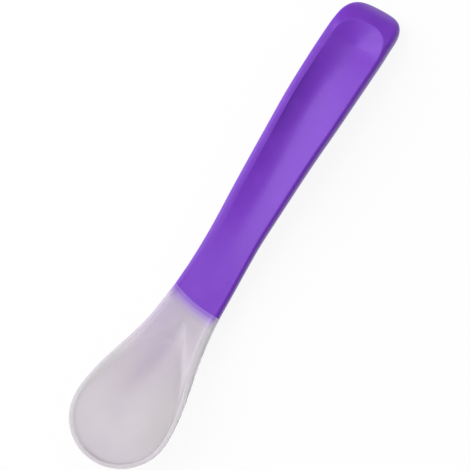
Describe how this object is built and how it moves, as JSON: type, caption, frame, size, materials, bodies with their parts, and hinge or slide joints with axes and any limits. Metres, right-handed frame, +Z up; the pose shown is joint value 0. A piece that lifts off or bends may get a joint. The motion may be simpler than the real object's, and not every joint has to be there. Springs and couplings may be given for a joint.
{
  "type": "weaning spoon",
  "caption": "Small feeding spoon with a rigid, trough-topped plastic handle and a soft silicone bowl moulded over its tang.",
  "frame": {"origin": "centre of the bounding box in plan, on the surface that the spoon lies on", "axes": "+X along the spoon from the bowl to the handle's end, +Z up out of the bowl's open side, +Y to the left of someone looking from the bowl along the handle"},
  "size_m": [0.14, 0.0278, 0.0094],
  "materials": {
    "handle_plastic": "satin purple polypropylene",
    "bowl_silicone": "milky translucent silicone, satin"
  },
  "bodies": {
    "root": {"handle": "handle_plastic", "soft_bowl": "bowl_silicone"}
  },
  "joints": []
}
